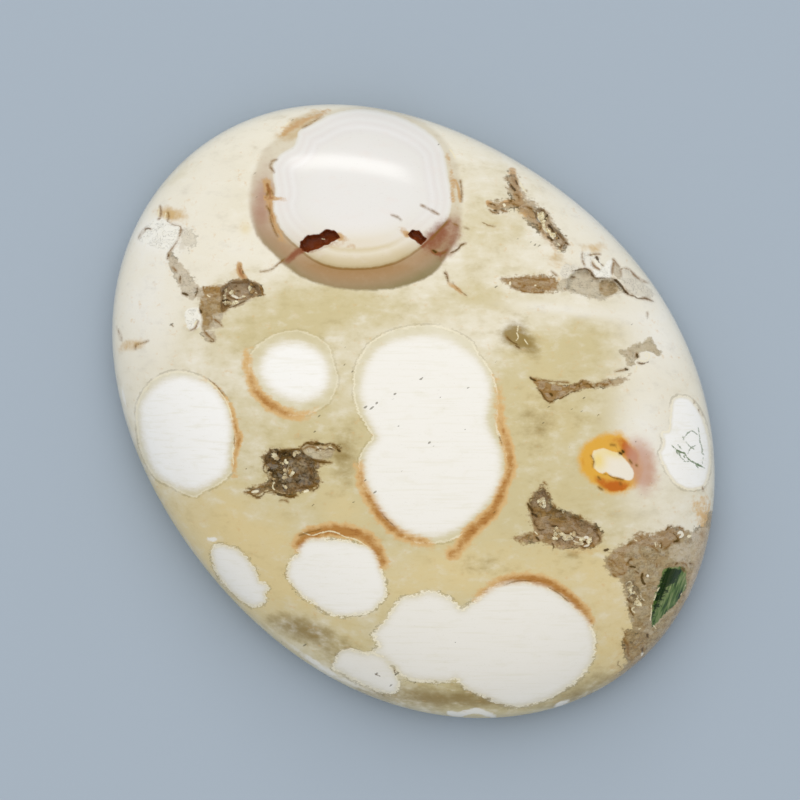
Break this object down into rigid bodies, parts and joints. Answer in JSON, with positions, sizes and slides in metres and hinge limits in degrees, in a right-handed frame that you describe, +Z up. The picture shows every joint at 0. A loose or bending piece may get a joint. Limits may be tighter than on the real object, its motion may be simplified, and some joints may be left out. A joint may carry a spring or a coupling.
{
  "type": "orbicular jasper cabochon",
  "caption": "Oval cabochon cut from orbicular jasper: one solid stone with a polished dome, a flat ground back with a bevel, and small open druzy quartz hollows in the dome.",
  "frame": {"origin": "middle of the flat back, on the surface the stone rests on", "axes": "+X along the oval's long axis, +Y along its short axis, +Z up out of the dome"},
  "size_m": [0.04, 0.031, 0.009],
  "materials": {
    "polished_jasper": "polished"
  },
  "bodies": {
    "root": {"cabochon": "polished_jasper"}
  },
  "joints": []
}
